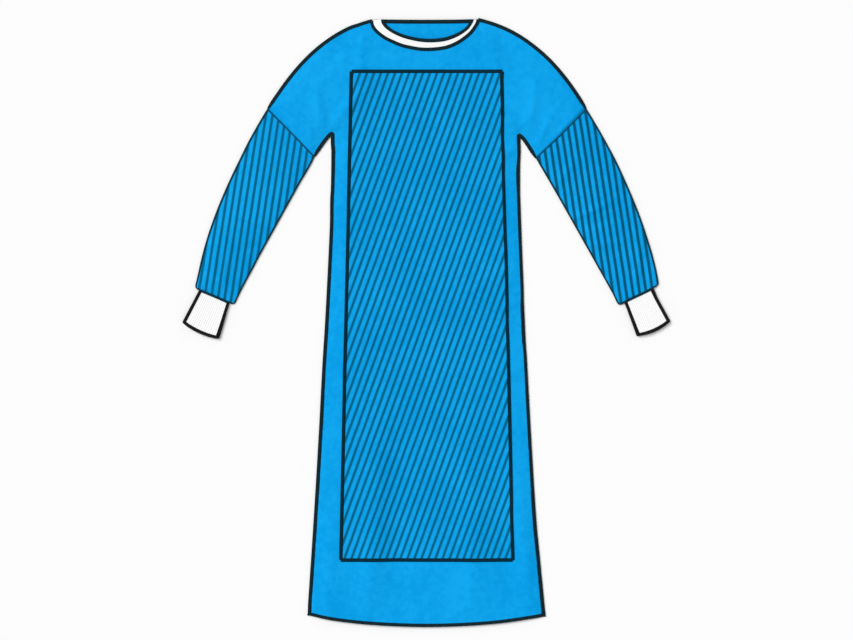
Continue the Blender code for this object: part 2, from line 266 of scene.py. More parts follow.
# Soft ridges (rise over 0) and troughs, strongest near their starts
frontCreases = tableRows(
    ("start", "end", "bow", "rise", "width"),
    ((200, 392), (96, 470), 8, 1.7, 9),
    ((198, 380), (118, 404), -6, -0.9, 8),
    ((193, 362), (128, 318), 6, 1.2, 9),
    ((206, 398), (214, 520), 10, 1.4, 11),
    ((232, 366), (278, 450), -6, 1.1, 8),
    ((118, 612), (142, 470), -10, 1.0, 12),
    ((152, 606), (236, 470), 12, -0.8, 14),
    ((90, -618), (74, -130), 10, 1.9, 24),
    ((176, -607), (150, -240), -8, -1.2, 19),
    ((214, -604), (190, -300), 4, 1.2, 14),
    ((30, 560), (62, 330), 14, 0.9, 17),
    ((186, 110), (60, 30), 16, 0.9, 16),
    ((196, -110), (110, -75), -10, 0.8, 13),
    ((-201, 390), (-112, 488), -10, 1.5, 10),
    ((-197, 376), (-104, 388), 8, -0.8, 8),
    ((-194, 352), (-142, 290), -4, 1.0, 8),
    ((-208, 402), (-226, 512), -8, 1.6, 10),
    ((-236, 372), (-270, 436), 6, 0.9, 8),
    ((-122, 610), (-128, 448), 12, 1.2, 13),
    ((-168, 598), (-250, 486), -10, -0.7, 12),
    ((-52, -622), (-48, -60), -12, -1.3, 26),
    ((-128, -615), (-108, -190), 10, 2.0, 22),
    ((-204, -606), (-182, -330), -6, 1.1, 15),
    ((-44, 556), (-20, 250), -10, 0.8, 20),
    ((-190, 176), (-50, 120), -14, 1.0, 15),
    ((-198, -30), (-104, -84), 10, 0.7, 14),
)
sleeveCreases = tableRows(
    ("start", "end", "bow", "rise", "width"),
    ((300, 216), (392, 262), 6, 1.6, 7),
    ((312, 194), (410, 216), -4, -1.0, 7),
    ((328, 168), (416, 172), 8, 1.3, 8),
    ((268, 276), (336, 352), -8, 1.1, 9),
    ((430, 76), (430, 180), 6, 1.3, 7),
    ((452, 84), (446, 158), -4, -0.9, 6),
    ((-290, 232), (-372, 300), -6, 1.4, 8),
    ((-316, 188), (-418, 226), 6, 1.5, 7),
    ((-330, 160), (-404, 158), -6, -0.8, 7),
    ((-356, 116), (-430, 146), 4, 1.0, 7),
    ((-418, 70), (-400, 170), -6, 1.2, 7),
    ((-446, 80), (-442, 196), 6, 1.0, 8),
)


def creaseLift(x, y, creases):
    lift = 0.0
    for crease in creases:
        sx, sy = crease["start"]
        ex, ey = crease["end"]
        dx, dy = ex - sx, ey - sy
        length = math.hypot(dx, dy)
        along = ((x - sx) * dx + (y - sy) * dy) / length ** 2
        if not 0.0 < along < 1.0:
            continue
        aside = ((x - sx) * dy - (y - sy) * dx) / length - crease["bow"] * 4 * along * (1 - along)
        if abs(aside) < 3 * crease["width"]:
            strength = math.sin(math.pi * along ** 0.7)
            lift += crease["rise"] * strength * math.exp(-(aside / crease["width"]) ** 2)
    return lift * lay["creases"]


def edgeRise(distance):
    share = clamp(distance / lay["reach"])
    return share * (2 - share)


def tapeRise(x, y):
    across = clamp((tapeHump["half"] - abs(x)) / tapeHump["sideSlope"])
    up = clamp((y - tapeHump["foot"]) / tapeHump["slope"])
    return lay["tape"] * across * up


def ripple(x, y, away):
    across, up = lay["waveScale"]
    fine = lay["puckerScale"]
    wave = noise.noise(Vector((x * across, y * up, 1.7))) * lay["waves"]
    pucker = noise.noise(Vector((x * fine, y * fine, 4.2))) * lay["puckers"]
    return wave * clamp(away / lay["waveReach"]) + pucker * math.exp(-away / lay["puckerReach"])


def frontTop(x, y):
    # Height of the front's upper face
    away = bodySeams.find((abs(x), y, 0.0))[2]
    base = 2 * lay["layer"] + lay["gap"] + tapeRise(x, y) + lay["puff"] * edgeRise(away)
    creased = creaseLift(x, y, frontCreases) * clamp(away / lay["loose"])
    return base + creased + ripple(x, y, away) * clamp(away / lay["sewn"])


def outerBackTop(x, y):
    return lay["layer"] + tapeRise(x, y)


def innerBackTop(x, y):
    # It is sewn in at -X, and steps over the outer one
    foot = lineX("neck", y)
    top = -lineX("flap", y) + lay["flapPast"]
    step = clamp((foot + x) / (foot - top))
    step = step * step * (3 - 2 * step)
    return lay["layer"] + tapeRise(x, y) + (lay["layer"] + lay["gap"]) * step


backs = ((1, outerBackTop), (-1, innerBackTop))   # (the side where it is sewn in, its upper face)


# Shader groups

def plug(tree, value, socket):
    if isinstance(value, bpy.types.NodeSocket):
        tree.links.new(value, socket)
    else:
        socket.default_value = value


def addNode(tree, kind, values=None, **settings):
    made = tree.nodes.new(kind)
    for name, value in settings.items():
        setattr(made, name, value)
    for name, value in (values or {}).items():
        plug(tree, value, made.inputs[name])
    return made


def mathFor(tree):
    # The tree's Math nodes by their names, as in do.add(a, b)
    def maker(operation):
        return lambda a, b=0.0: addNode(tree, "ShaderNodeMath", {0: a, 1: b}, operation=operation).outputs[0]

    names = "add subtract multiply divide maximum floor fract absolute sine cosine".split()
    return SimpleNamespace(modulo=maker("FLOORED_MODULO"), **{name: maker(name.upper()) for name in names})


def blendColour(tree, share, a, b):
    return addNode(tree, "ShaderNodeMix", {0: share, 6: a, 7: b}, data_type="RGBA").outputs[2]


def ramp(tree, value, low, high, toLow=0.0, toHigh=1.0):
    places = {"Value": value, "From Min": low, "From Max": high, "To Min": toLow, "To Max": toHigh}
    return addNode(tree, "ShaderNodeMapRange", places, interpolation_type="SMOOTHSTEP").outputs[0]


def noiseAt(tree, vector, scale, detail=2.0, roughness=0.5, stretch=None):
    if stretch:
        vector = addNode(tree, "ShaderNodeMapping", {"Vector": vector, "Scale": stretch}).outputs[0]
    values = {"Vector": vector, "Scale": scale, "Detail": detail, "Roughness": roughness}
    return addNode(tree, "ShaderNodeTexNoise", values).outputs[0]


def splitVector(tree, vector):
    return addNode(tree, "ShaderNodeSeparateXYZ", {0: vector}).outputs


def newGroup(name, inputs, outputs):
    # (the group, what it is given, its Math nodes)
    group = bpy.data.node_groups.new(name, "ShaderNodeTree")
    for label, value in inputs.items():
        kind = "NodeSocketVector" if label == "Vector" else "NodeSocketFloat"
        socket = group.interface.new_socket(name=label, in_out="INPUT", socket_type=kind)
        if value is not None:
            socket.default_value = value
    for label in outputs:
        group.interface.new_socket(name=label, in_out="OUTPUT", socket_type="NodeSocketFloat")
    return group, group.nodes.new("NodeGroupInput").outputs, mathFor(group)


def useGroup(tree, group, values):
    return addNode(tree, "ShaderNodeGroup", values, node_tree=group).outputs


def makeBondedCloth():
    # Nonwoven: rows of small pressed points, loose fibres between them, and an uneven web
    group, given, do = newGroup(
        "bondedCloth", {"Vector": None, "Pitch": 1.9 * mm, "Point": 0.30}, ("Bond", "Fibre", "Web"))
    place, point = given["Vector"], given["Point"]
    scale = do.divide(1.0, given["Pitch"])
    scaled = addNode(group, "ShaderNodeVectorMath", {0: place, "Scale": scale}, operation="SCALE")
    across, up, _ = splitVector(group, scaled.outputs[0])
    across = do.add(across, do.multiply(do.modulo(do.floor(up), 2.0), 0.5))
    across = do.subtract(do.fract(across), 0.5)
    up = do.multiply(do.subtract(do.fract(up), 0.5), 1.5)
    flat = addNode(group, "ShaderNodeCombineXYZ", {0: across, 1: up}).outputs[0]
    away = addNode(group, "ShaderNodeVectorMath", {0: flat}, operation="LENGTH").outputs["Value"]
    fibres = [noiseAt(group, place, 1.0, 3.0, 0.6, stretch) for stretch in ((2600, 420, 1), (380, 2300, 1))]
    web = do.add(noiseAt(group, place, 90.0, 3.0), noiseAt(group, place, 7.0, 2.0))
    addNode(group, "NodeGroupOutput", {
        "Bond": ramp(group, away, do.add(point, 0.10), do.subtract(point, 0.10)),
        "Fibre": do.maximum(*fibres),
        "Web": do.multiply(web, 0.5),
    })
    return group


def makeCrumple():
    # Fine handling creases, as ridges of a warped noise
    group, given, do = newGroup("crumple", {"Vector": None, "Scale": 26.0}, ("Height",))
    values = {"Vector": given["Vector"], "Scale": given["Scale"], "Detail": 3.0, "Distortion": 0.9}
    field = addNode(group, "ShaderNodeTexNoise", values).outputs[0]
    ridge = do.absolute(do.subtract(field, 0.5))
    addNode(group, "NodeGroupOutput", {"Height": ramp(group, ridge, 0.0, 0.16)})
    return group


def makeSlantStripes():
    # Lines that lean by Slant from the gown's length, Pitch apart and Width wide
    group, given, do = newGroup(
        "slantStripes",
        {"Vector": None, "Slant": 0.0, "Pitch": 13.55 * mm, "Width": 2.8 * mm, "Shift": 0.0},
        ("Line", "Ink"))
    place, slant, pitch = given["Vector"], given["Slant"], given["Pitch"]
    x, y, _ = splitVector(group, place)
    across = do.subtract(do.multiply(x, do.cosine(slant)), do.multiply(y, do.sine(slant)))
    wander = do.multiply(do.subtract(noiseAt(group, place, 22.0, 1.0), 0.5), 0.9 * mm)
    across = do.add(do.subtract(across, given["Shift"]), wander)
    turn = do.fract(do.add(do.divide(across, pitch), 0.5))
    away = do.multiply(do.absolute(do.subtract(turn, 0.5)), pitch)
    half = do.multiply(given["Width"], 0.5)
    softEdge = 1.4 * mm
    line = ramp(group, away, do.add(half, softEdge), do.subtract(half, softEdge))
    speckle = ramp(group, noiseAt(group, place, 1100.0, 2.0), 0.25, 0.60, 0.84, 1.0)
    addNode(group, "NodeGroupOutput", {"Line": line, "Ink": do.multiply(line, speckle)})
    return group


def makeThreadTurns():
    # Strands that lie side by side across a band. The UV's v counts the turns along it.
    group, given, do = newGroup(
        "threadTurns",
        {"Vector": None, "Strands": 3.0, "Lean": 0.8, "Plies": 26.0},
        ("Strand", "Ply", "Lint"))
    place = given["Vector"]
    across, turns, _ = splitVector(group, place)
    wobble = do.multiply(noiseAt(group, place, 1.3, 2.0), 0.35)
    along = do.add(do.multiply(turns, given["Strands"]), wobble)
    along = do.add(along, do.multiply(across, given["Lean"]))
    aside = do.absolute(do.subtract(do.fract(along), 0.5))
    twist = do.add(do.multiply(across, given["Plies"]), do.multiply(along, 1.5))
    addNode(group, "NodeGroupOutput", {
        "Strand": ramp(group, aside, 0.5, 0.1),
        "Ply": do.multiply(do.absolute(do.subtract(do.fract(twist), 0.5)), 2.0),
        "Lint": noiseAt(group, place, 4.0, 3.0, 0.6),
    })
    return group


bondedCloth = makeBondedCloth()
crumple = makeCrumple()
slantStripes = makeSlantStripes()
threadTurns = makeThreadTurns()
print("shader groups made")

# Materials

clothLook = {
    "blue": (0.000, 0.345, 0.815, 1.0),
    "lightBlue": (0.004, 0.405, 0.900, 1.0),
    "deepBlue": (0.000, 0.285, 0.700, 1.0),
    "roughness": 0.66,
    "sheen": 0.03,
    "specular": 0.05,
}
stripeLook = {                # slant in degrees and the place of one line, as each piece shows them
    "front": {"slant": 20.0, "pitch": 13.55 * mm, "shift": 6.1 * mm, "width": 5.5 * mm,
              "ink": (0.0, 0.112, 0.225, 1.0)},
    "right": {"slant": -8.65, "pitch": 13.54 * mm, "shift": -4.5 * mm, "width": 6.2 * mm,
              "ink": (0.0, 0.080, 0.165, 1.0)},
    "left": {"slant": 8.70, "pitch": 13.58 * mm, "shift": 1.1 * mm, "width": 5.8 * mm,
             "ink": (0.0, 0.112, 0.225, 1.0)},
}
whiteLook = {
    "knit": (1.0, 1.0, 1.0, 1.0),
    # painted shade: the knit's colour between its stitches, with random lint tone mixed in
    "knitGapShadeAndLint": (0.98, 0.985, 0.99, 1.0),
    "tape": (1.0, 1.0, 1.0, 1.0),
    # painted shade: the tape's colour between its yarns, with random lint tone mixed in
    "tapeGapShadeAndLint": (0.96, 0.965, 0.97, 1.0),
}
threadLook = {                # (colour between the strands, which is painted shade; colour on them)
    "dark": ((0.001, 0.006, 0.010, 1.0), (0.011, 0.047, 0.066, 1.0)),
    "panel": ((0.000, 0.010, 0.018, 1.0), (0.001, 0.050, 0.090, 1.0)),
    "black": ((0.003, 0.002, 0.002, 1.0), (0.024, 0.019, 0.017, 1.0)),
    "seam": ((0.001, 0.045, 0.080, 1.0), (0.004, 0.120, 0.210, 1.0)),
    "teal": ((0.001, 0.022, 0.034, 1.0), (0.010, 0.082, 0.124, 1.0)),
}


def newMaterial(name, roughness, sheen, specular, tint=(1.0, 1.0, 1.0, 1.0)):
    look = bpy.data.materials.new(name)
    look.use_nodes = True
    shader = look.node_tree.nodes["Principled BSDF"]
    values = {"Roughness": roughness, "Specular IOR Level": specular}
    values.update({"Sheen Weight": sheen, "Sheen Roughness": 0.4, "Sheen Tint": tint})
    for socket, value in values.items():
        shader.inputs[socket].default_value = value
    return look, look.node_tree, shader


def uvPlace(tree):
    return addNode(tree, "ShaderNodeUVMap", uv_map="layUv").outputs[0]


def colourAndBump(tree, shader, colour, *heights):
    # heights: (height, strength, distance) each, from the coarsest to the finest
    tree.links.new(colour, shader.inputs["Base Color"])
    normal = None
    for height, strength, distance in heights:
        values = {"Height": height, "Strength": strength, "Distance": distance}
        if normal:
            values["Normal"] = normal
        normal = addNode(tree, "ShaderNodeBump", values).outputs[0]
    tree.links.new(normal, shader.inputs["Normal"])


def clothMaterial(name, stripes=None):
    look, tree, shader = newMaterial(
        name, clothLook["roughness"], clothLook["sheen"], clothLook["specular"], clothLook["lightBlue"])
    do = mathFor(tree)
    place = addNode(tree, "ShaderNodeTexCoord").outputs["Object"]
    web = useGroup(tree, bondedCloth, {"Vector": place})
    creases = useGroup(tree, crumple, {"Vector": place})["Height"]
    uneven = ramp(tree, web["Web"], 0.35, 0.65)
    colour = blendColour(tree, uneven, clothLook["blue"], clothLook["lightBlue"])
    colour = blendColour(tree, do.multiply(web["Bond"], 0.55), colour, clothLook["deepBlue"])
    heights = [
        (creases, 0.35, 0.6 * mm),
        (do.subtract(do.multiply(web["Fibre"], 0.6), web["Bond"]), 0.75, 0.16 * mm),
    ]
    if stripes:
        values = {name.capitalize(): stripes[name] for name in ("pitch", "width", "shift")}
        values.update(Vector=place, Slant=math.radians(stripes["slant"]))
        lines = useGroup(tree, slantStripes, values)
        colour = blendColour(tree, lines["Ink"], colour, stripes["ink"])
        heights.insert(1, (lines["Line"], 0.6, 0.35 * mm))
    gloss = do.subtract(clothLook["roughness"] + 0.10, do.multiply(web["Bond"], 0.22))
    tree.links.new(gloss, shader.inputs["Roughness"])
    colourAndBump(tree, shader, colour, *heights)
    return look


def knitMaterial():
    # The UV's u counts ribs and its v counts rows of stitches
    look, tree, shader = newMaterial("ribKnit", 0.9, 0.03, 0.10)
    do = mathFor(tree)
    place = uvPlace(tree)
    ribs, rows, _ = splitVector(tree, place)
    aside = do.absolute(do.subtract(do.fract(ribs), 0.5))
    row = do.fract(do.add(rows, do.multiply(aside, 1.3)))          # each stitch is a V
    loop = ramp(tree, do.absolute(do.subtract(row, 0.5)), 0.5, 0.18)
    leg = ramp(tree, do.absolute(do.subtract(aside, 0.22)), 0.26, 0.05)
    stitch = do.multiply(loop, leg)
    lint = noiseAt(tree, place, 6.0, 4.0, 0.7)
    # Painted shade: darker between the stitch loops and legs, plus random lint tone
    gapShadeAndLint = ramp(tree, do.add(stitch, do.multiply(lint, 0.35)), 0.05, 0.6)
    colour = blendColour(tree, gapShadeAndLint, whiteLook["knitGapShadeAndLint"], whiteLook["knit"])
    colourAndBump(tree, shader, colour, (stitch, 0.6, 0.4 * mm), (lint, 0.2, 0.12 * mm))
    return look


def tapeMaterial():
    # Plain-woven tape. The UV counts its yarns both ways.
    look, tree, shader = newMaterial("wovenTape", 0.8, 0.03, 0.12)
    do = mathFor(tree)
    place = uvPlace(tree)
    parts = splitVector(tree, place)[:2]
    sides = [do.absolute(do.sine(do.multiply(part, math.pi))) for part in parts]
    over = do.modulo(do.add(do.floor(parts[0]), do.floor(parts[1])), 2.0)
    yarn = addNode(tree, "ShaderNodeMix", {0: over, 2: sides[0], 3: sides[1]}, data_type="FLOAT").outputs[0]
    lint = noiseAt(tree, place, 2.0, 3.0, 0.6)
    # Painted shade: darker at the yarns' edges and between them, plus random lint tone
    gapShadeAndLint = ramp(tree, do.add(yarn, do.multiply(lint, 0.4)), 0.0, 0.75)
    colour = blendColour(tree, gapShadeAndLint, whiteLook["tapeGapShadeAndLint"], whiteLook["tape"])
    colourAndBump(tree, shader, colour, (yarn, 0.5, 0.2 * mm), (lint, 0.2, 0.1 * mm))
    return look


def threadMaterial(name, dark, light):
    look, tree, shader = newMaterial(name, 0.6, 0.0, 0.08)
    do = mathFor(tree)
    turns = useGroup(tree, threadTurns, {"Vector": uvPlace(tree)})
    # Painted shade: the dark colour lies between the strands and the light one on them, varied by lint
    share = do.multiply(turns["Strand"], ramp(tree, turns["Lint"], 0.2, 0.7, 0.45, 1.0))
    colour = blendColour(tree, share, dark, light)
    colourAndBump(tree, shader, colour, (turns["Strand"], 0.9, 0.3 * mm), (turns["Ply"], 0.35, 0.08 * mm))
    return look


looks = {
    "cloth": clothMaterial("bondedBlue"),
    "front": clothMaterial("stripedFront", stripeLook["front"]),
    "right": clothMaterial("stripedRightSleeve", stripeLook["right"]),
    "left": clothMaterial("stripedLeftSleeve", stripeLook["left"]),
    "knit": knitMaterial(),
    "tape": tapeMaterial(),
    # thread colours go (painted shade between the strands, colour on them)
    "blueThread": threadMaterial("blueThread", clothLook["deepBlue"], clothLook["lightBlue"]),
    "whiteThread": threadMaterial("whiteThread", whiteLook["tapeGapShadeAndLint"], whiteLook["tape"]),
}
for name, colours in threadLook.items():
    looks[f"{name}Thread"] = threadMaterial(f"{name}Thread", *colours)
print("materials made")

# Making pieces

sides = (("right", 1), ("left", -1))
weld = 0.01 * mm              # points nearer than this are one
floorClear = 0.02 * mm        # no sleeve, cuff or thread goes lower


def layGrid(bm, place, columns, rows, uvScale=(1.0, 1.0)):
    # A grid of columns by rows points; place(column, row) says where each goes
    uvLayer = bm.loops.layers.uv.get("layUv") or bm.loops.layers.uv.new("layUv")
    across, up = columns - 1, rows - 1
    made = bmesh.ops.create_grid(bm, x_segments=across, y_segments=up, size=1.0)
    spots = {}
    for vert in made["verts"]:
        spots[vert] = (round((vert.co.x + 1) / 2 * across), round((vert.co.y + 1) / 2 * up))
    for face in {face for vert in made["verts"] for face in vert.link_faces}:
        for loop in face.loops:
            column, row = spots[loop.vert]
            loop[uvLayer].uv = (column / across * uvScale[0], row / up * uvScale[1])
    for vert, (column, row) in spots.items():
        vert.co = place(column, row)


def faceOut(bm):
    # Turns every face out of a closed form, or up on an open sheet
    bmesh.ops.recalc_face_normals(bm, faces=bm.faces)
    highest = max(bm.faces, key=lambda face: face.calc_center_median().z)
    if highest.normal.z < 0:
        bmesh.ops.reverse_faces(bm, faces=bm.faces)


def finishPiece(name, bm, look, slot, node=None, thickness=0.0, closeEnds=False):
    bmesh.ops.remove_doubles(bm, verts=bm.verts, dist=weld)
    if closeEnds:
        bmesh.ops.holes_fill(bm, edges=[edge for edge in bm.edges if edge.is_boundary], sides=0)
    faceOut(bm)
    for vert in bm.verts:
        vert.co += settle(vert.co.x, vert.co.y)
    mesh = bpy.data.meshes.new(name)
    bm.to_mesh(mesh)
    bm.free()
    mesh.shade_smooth()
    mesh.materials.append(looks[look])
    piece = bpy.data.objects.new(name, mesh)
    bpy.context.scene.collection.objects.link(piece)
    if thickness:
        shell = piece.modifiers.new("Cloth thickness", "SOLIDIFY")
        shell.thickness = thickness
        shell.offset = -1.0
    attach(piece, "root")
    if node:
        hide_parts(node)
    return piece


def gridPiece(name, place, columns, rows, look, slot, uvScale=(1.0, 1.0), **rest):
    bm = bmesh.new()
    layGrid(bm, place, columns, rows, uvScale)
    return finishPiece(name, bm, look, slot, **rest)


bodyGrids = {                 # steps between the lines, in the zones from the hem up, and down the arm
    "front": {
        "spans": (("centre", "neck", 26), ("neck", "edge", 16)),
        "rows": {"hem": 22, "skirt": 170, "armhole": 26, "yoke": 22},
        "arm": 26,
    },
    "back": {
        "spans": (("flap", "neck", 44), ("neck", "edge", 12)),
        "rows": {"hem": 8, "skirt": 64, "armhole": 12, "yoke": 22},
        "arm": 12,
    },
}


def columnList(spans):
    # (line, next line, share) each; towards the neck line they close up like the neck's curve
    columns = []
    for line, nextLine, steps in spans:
        for step in range(steps):
            share = step / steps
            columns.append((line, nextLine, math.sin(share * math.pi / 2) if nextLine == "neck" else share))
    return columns + [(*spans[-1][:2], 1.0)]


def rowList(steps):
    rows = []
    for zone in steps:
        rows += [(zone, step / steps[zone]) for step in range(steps[zone])]
    return rows + [(zone, 1.0)]


def topPoint(column, drop):
    line, nextLine, share = column
    if nextLine == "edge":
        return curvePoint(shoulderCurve, cut["armhole"] * share)
    half = cut["neckHalf"]
    start, end = (max(-half, min(half, lineX(name, cut["neckTop"]))) for name in (line, nextLine))
    x = mix(start, end, share)
    return Vector((x, neckY(x, drop)))


def bodyPoint(column, row, drop):
    line, nextLine, share = column
    zone, up = row

    def across(y):
        return mix(lineX(line, y), lineX(nextLine, y), share)

    foot, under, top = cut["panelFoot"], cut["underarm"][1], cut["panelTop"]
    if zone == "hem":
        x = across(cut["hemSide"])
        return mix(Vector((x, hemY(x))), Vector((across(foot), foot)), up)
    if zone == "yoke":
        return mix(Vector((across(top), top)), topPoint(column, drop), up)
    y = mix(foot, under, up) if zone == "skirt" else mix(under, top, up)
    return Vector((across(y), y))


def upperSleevePoint(start, out, up):
    # Blended between the armhole line, the sleeve seam, the underarm and the shoulder
    under = curvePoint(upperUnderCurve, out)
    over = curvePoint(shoulderCurve, mix(cut["armhole"], 1.0, out))
    seam = mix(Vector(upperUnderCurve[3]), Vector(shoulderCurve[3]), up)
    lowCorners = mix(Vector(upperUnderCurve[0]), Vector(upperUnderCurve[3]), out)
    highCorners = mix(curvePoint(shoulderCurve, cut["armhole"]), Vector(shoulderCurve[3]), out)
    return mix(start, seam, out) + mix(under, over, up) - mix(lowCorners, highCorners, up)


def addBody(bm, kind, side, topAt):
    grid, drop = bodyGrids[kind], cut[f"{kind}NeckDrop"]
    columns = columnList(grid["spans"])
    rows = rowList(grid["rows"])
    armRows = [row for row in rows if row[0] in ("armhole", "yoke")]

    def lifted(point):
        x = side * point.x
        return Vector((x, point.y, topAt(x, point.y)))

    def placeBody(column, row):
        return lifted(bodyPoint(columns[column], rows[row], drop))

    def placeSleeve(column, row):
        start = bodyPoint(columns[-1], armRows[row], drop)
        return lifted(upperSleevePoint(start, column / grid["arm"], row / (len(armRows) - 1)))

    layGrid(bm, placeBody, len(columns), len(rows))
    layGrid(bm, placeSleeve, grid["arm"] + 1, len(armRows))


def makeFront():
    bm = bmesh.new()
    for _, side in sides:
        addBody(bm, "front", side, frontTop)
    piece = finishPiece("frontCloth", bm, "cloth", "body_cloth", "front", lay["cloth"])


def makeBack(name, node, side, topAt, restsOn):
    bm = bmesh.new()
    addBody(bm, "back", side, topAt)
    piece = finishPiece(name, bm, "cloth", "body_cloth", node, lay["cloth"])


panel = {
    "columns": 65,
    "rows": 200,
    "wall": 0.8 * mm,
    "step": lay["layer"] + lay["gap"],    # from the front's upper face to its own
}


def panelTopAt(x, y):
    return frontTop(x, y) + panel["step"]


def makeReinforcement():
    def place(column, row):
        y = mix(cut["panelFoot"], cut["panelTop"], row / (panel["rows"] - 1))
        x = mix(-1, 1, column / (panel["columns"] - 1)) * panelHalf(y)
        return Vector((x, y, panelTopAt(x, y)))

    piece = gridPiece("reinforcementCloth", place, panel["columns"], panel["rows"], "front",
                      "reinforced_cloth", node="front_reinforcement", thickness=panel["wall"])


# Flattened tubes: a section is two flat sides and two folded edges

def foldPoint(part, share, width, radius, stand):
    # (reach from the under edge, height) of a point of the section
    if part == "bottom":
        return mix(radius, width - radius, share), radius - stand
    if part == "top":
        return mix(width - radius, radius, share), radius + stand
    turn = math.pi * (share - 0.5 if part == "overFold" else share + 0.5)
    centre = width - radius if part == "overFold" else radius
    return centre + stand * math.cos(turn), radius + stand * math.sin(turn)


def sectionStops(flatSteps, foldSteps):
    stops = []
    for part in ("bottom", "overFold", "top", "underFold"):
        steps = foldSteps if "Fold" in part else flatSteps
        stops += [(part, step / steps) for step in range(steps)]
    return stops + [("bottom", 0.0)]


def edgeStops(part, width, radius, band, foldSteps):
    # The stops of a strip that wraps one folded edge
    share = (band - radius) / (width - 2 * radius)
    fold = [(part, step / foldSteps) for step in range(foldSteps + 1)]
    if part == "overFold":
        return [("bottom", 1 - share)] + fold + [("top", share)]
    return [("top", 1 - share)] + fold + [("bottom", share)]


sleeve = {
    "length": 0.40,
    "meanWidth": 0.11,
    "radius": 1.7 * mm,       # of its folded edges
    "height": 5.9 * mm,       # at the middle
    "wall": 0.8 * mm,
    "rows": 104,              # evenly apart up to lastEven, then at endRows
    "lastEven": 0.975,
    "endRows": (0.978, 0.982, 0.986, 0.990, 0.993, 0.996, 0.998, 1.0),
    "flatSteps": 30,
    "foldSteps": 6,
    "loose": 8 * mm,          # its creases begin over this width from a fold
    "drawFrom": 0.982,        # its corners are drawn in a little from here,
    "drawTurn": 0.993,        # and fully from here to its end
    "drawLittle": 1.2 * mm,
    "drawFull": 6 * mm,
    "gathers": 7.5,           # across its width, where it is drawn in to the cuff
    "gatherDepth": 1.5 * mm,
    "gatherReach": 20 * mm,
    "gatherMean": 0.7,        # how deep they are on average, and how uneven
    "gatherUneven": 0.5,
    "gatherScale": 60,
    "gatherShift": 0.03,      # sets the two sleeves' gathers apart
}


def drawnIn(along):
    start, turn = sleeve["drawFrom"], sleeve["drawTurn"]
    if along < turn:
        return sleeve["drawLittle"] * clamp((along - start) / (turn - start))
    return mix(sleeve["drawLittle"], sleeve["drawFull"], (along - turn) / (1 - turn))


def gatherAt(side, share, reach, toEnd):
    depth = sleeve["gatherDepth"] * math.exp(-toEnd / sleeve["gatherReach"])
    uneven = noise.noise(Vector((reach * sleeve["gatherScale"], side, 0.4)))
    turns = (share + sleeve["gatherShift"] * side) * sleeve["gathers"]
    return depth * math.cos(turns * 2 * math.pi) * (sleeve["gatherMean"] + sleeve["gatherUneven"] * uneven)


def sleevePoint(side, part, share, along, proud=0.0):
    over = curvePoint(sleeveOverCurve, along)
    under = curvePoint(sleeveUnderCurve, along)
    across = (over - under).normalized()
    over -= across * drawnIn(along)
    under += across * drawnIn(along)
    width = (over - under).length
    radius = sleeve["radius"]
    reach, z = foldPoint(part, share, width, radius, radius + proud)
    x, y = under + across * reach
    x *= side
    if part == "top":
        away = max(0.0, min(reach, width - reach) - radius)
        rise = edgeRise(away) * (sleeve["height"] - 2 * radius)
        gather = gatherAt(side, reach / width, reach, (1 - along) * sleeve["length"])
        uneven = creaseLift(x, y, sleeveCreases) + gather + ripple(x, y, away)
        z += rise + uneven * clamp(away / sleeve["loose"])
    return Vector((x, y, max(z, floorClear)))


def makeSleeve(name, side):
    stops = sectionStops(sleeve["flatSteps"], sleeve["foldSteps"])
    alongs = spread(0.0, sleeve["lastEven"], sleeve["rows"]) + list(sleeve["endRows"])

    def place(column, row):
        return sleevePoint(side, *stops[column], alongs[row])

    piece = gridPiece(f"{name}SleeveCloth", place, len(stops), len(alongs), name, "reinforced_cloth",
                      node=f"sleeve_{name}", thickness=sleeve["wall"])


cuff = {
    "setIn": 12 * mm,         # from the sleeve's corners
    "wristOver": (0.5000, 0.0037),
    "wristUnder": (0.4330, -0.0260),
    "length": 72 * mm,
    "girth": 145 * mm,
    "sag": 6 * mm,
    "radius": 3.1 * mm,
    "ribs": 36,
    "ribDepth": 0.75 * mm,
    "stitchRows": 44,
    "wall": 1.3 * mm,
    "stepsPerRib": 6,
    "rows": 36,
}


def cuffSection(along):
    over, under = Vector(sleeveOverCurve[3]), Vector(sleeveUnderCurve[3])
    across = (over - under).normalized()
    outOf = Vector((across.y, -across.x)) * lay["gap"]
    over = mix(over - across * cuff["setIn"] + outOf, Vector(cuff["wristOver"]), along)
    under = mix(under + across * cuff["setIn"] + outOf, Vector(cuff["wristUnder"]), along)
    return over, under


def cuffPoint(side, travel, along, proud=0.0, ribbed=True):
    # travel goes once round the section, from 0 to 1
    over, under = cuffSection(along)
    across = (over - under).normalized()
    width, radius = (over - under).length, cuff["radius"]
    straight = width - 2 * radius
    turn = math.pi * radius
    place = (travel % 1.0) * 2 * (straight + turn)
    for part, length in (("bottom", straight), ("overFold", turn), ("top", straight), ("underFold", turn)):
        if place <= length:
            break
        place -= length
    rib = 0.5 + 0.5 * math.cos(travel * cuff["ribs"] * 2 * math.pi) if ribbed else 1.0
    stand = radius - cuff["ribDepth"] * (1 - rib) ** 1.5 + proud
    reach, z = foldPoint(part, min(1.0, place / length), width, radius, stand)
    bow = cuff["sag"] * along ** 2 * (1 - (2 * reach / width - 1) ** 2)
    x, y = under + across * reach + Vector((across.y, -across.x)) * bow
    return Vector((side * x, y, max(z, floorClear)))


def makeCuff(name, side):
    columns = cuff["ribs"] * cuff["stepsPerRib"]

    def place(column, row):
        return cuffPoint(side, column / columns, row / cuff["rows"])

    stitches = (cuff["ribs"], cuff["stitchRows"])
    piece = gridPiece(f"{name}CuffKnit", place, columns + 1, cuff["rows"] + 1, "knit", "cuff_knit", stitches,
                      node=f"cuff_{name}", thickness=cuff["wall"])


# The white band along the front neck, and the closing tape under the back neck

